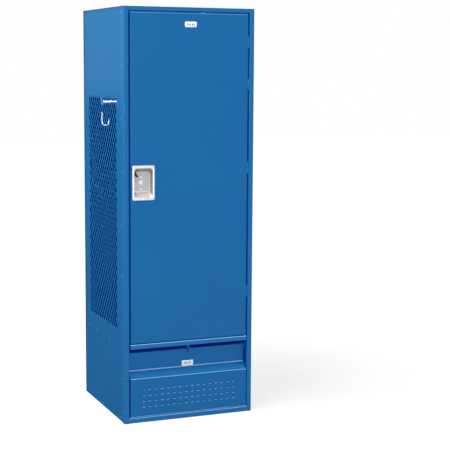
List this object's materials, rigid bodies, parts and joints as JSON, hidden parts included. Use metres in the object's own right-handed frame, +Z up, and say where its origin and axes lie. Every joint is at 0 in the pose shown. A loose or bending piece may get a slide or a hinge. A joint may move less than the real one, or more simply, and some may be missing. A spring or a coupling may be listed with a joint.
{
  "type": "metal gear locker",
  "caption": "Tall sheet-metal gear locker with diamond-perforated sides, a full-length door with a recessed latch, and a vented drop-front foot locker under the seat shelf.",
  "frame": {"origin": "on the floor under the middle of the cabinet", "axes": "+X to the locker's right as seen from the front, front faces -Y, +Z up"},
  "size_m": [0.6116, 0.6118, 1.8288],
  "materials": {
    "blue_enamel": "smooth satin baked enamel",
    "stainless": "fine brushed stainless",
    "bright_plate": "bright plated steel",
    "zinc_steel": "zinc-plated steel",
    "white_plate": "white number plate",
    "black_rubber": "matte rubber"
  },
  "bodies": {
    "cabinet": {"left_upright": "blue_enamel", "right_upright": "blue_enamel", "top_rail": "blue_enamel", "bottom_rail": "blue_enamel", "left_door_stop": "blue_enamel", "right_door_stop": "blue_enamel", "top_door_stop": "blue_enamel", "left_side_panel": "blue_enamel", "right_side_panel": "blue_enamel", "back_panel": "blue_enamel", "top_panel": "blue_enamel", "bottom_pan": "blue_enamel", "seat_shelf": "blue_enamel", "hat_shelf": "blue_enamel", "coat_rod": "bright_plate", "rod_sockets": "blue_enamel", "coat_hooks": "bright_plate", "latch_keepers": "zinc_steel", "door_bumpers": "black_rubber", "hinge_frame_leaves": "blue_enamel", "hinge_pins": "zinc_steel", "flap_hinge_rail_leaf": "blue_enamel", "flap_hinge_pin": "zinc_steel", "padlock_tab": "blue_enamel", "flap_stops": "blue_enamel"},
    "door": {"door_pan": "blue_enamel", "door_stiffener": "blue_enamel", "latch_cup": "stainless", "cup_fittings": "zinc_steel", "number_plate": "white_plate", "hinge_door_leaves": "blue_enamel", "bar_guides": "zinc_steel"},
    "latch_bar": {"lock_bar": "zinc_steel", "latch_trigger": "black_rubber"},
    "foot_locker_front": {"flap_front": "blue_enamel", "flap_hinge_leaf": "blue_enamel", "flap_padlock_tab": "blue_enamel", "flap_number_plate": "white_plate"}
  },
  "joints": [
    {"name": "door_swing", "type": "hinge", "parent": "cabinet", "child": "door", "pos_m": [0.2788, -0.3028, 1.0819], "axis": [0, 0, 1], "range_deg": [0, 110]},
    {"name": "latch_slide", "type": "slide", "parent": "door", "child": "latch_bar", "axis": [0, 0, -1], "range_m": [0, 0.009]},
    {"name": "front_drop", "type": "hinge", "parent": "cabinet", "child": "foot_locker_front", "pos_m": [0, -0.3016, 0.0276], "axis": [1, 0, 0], "range_deg": [0, 90]}
  ]
}
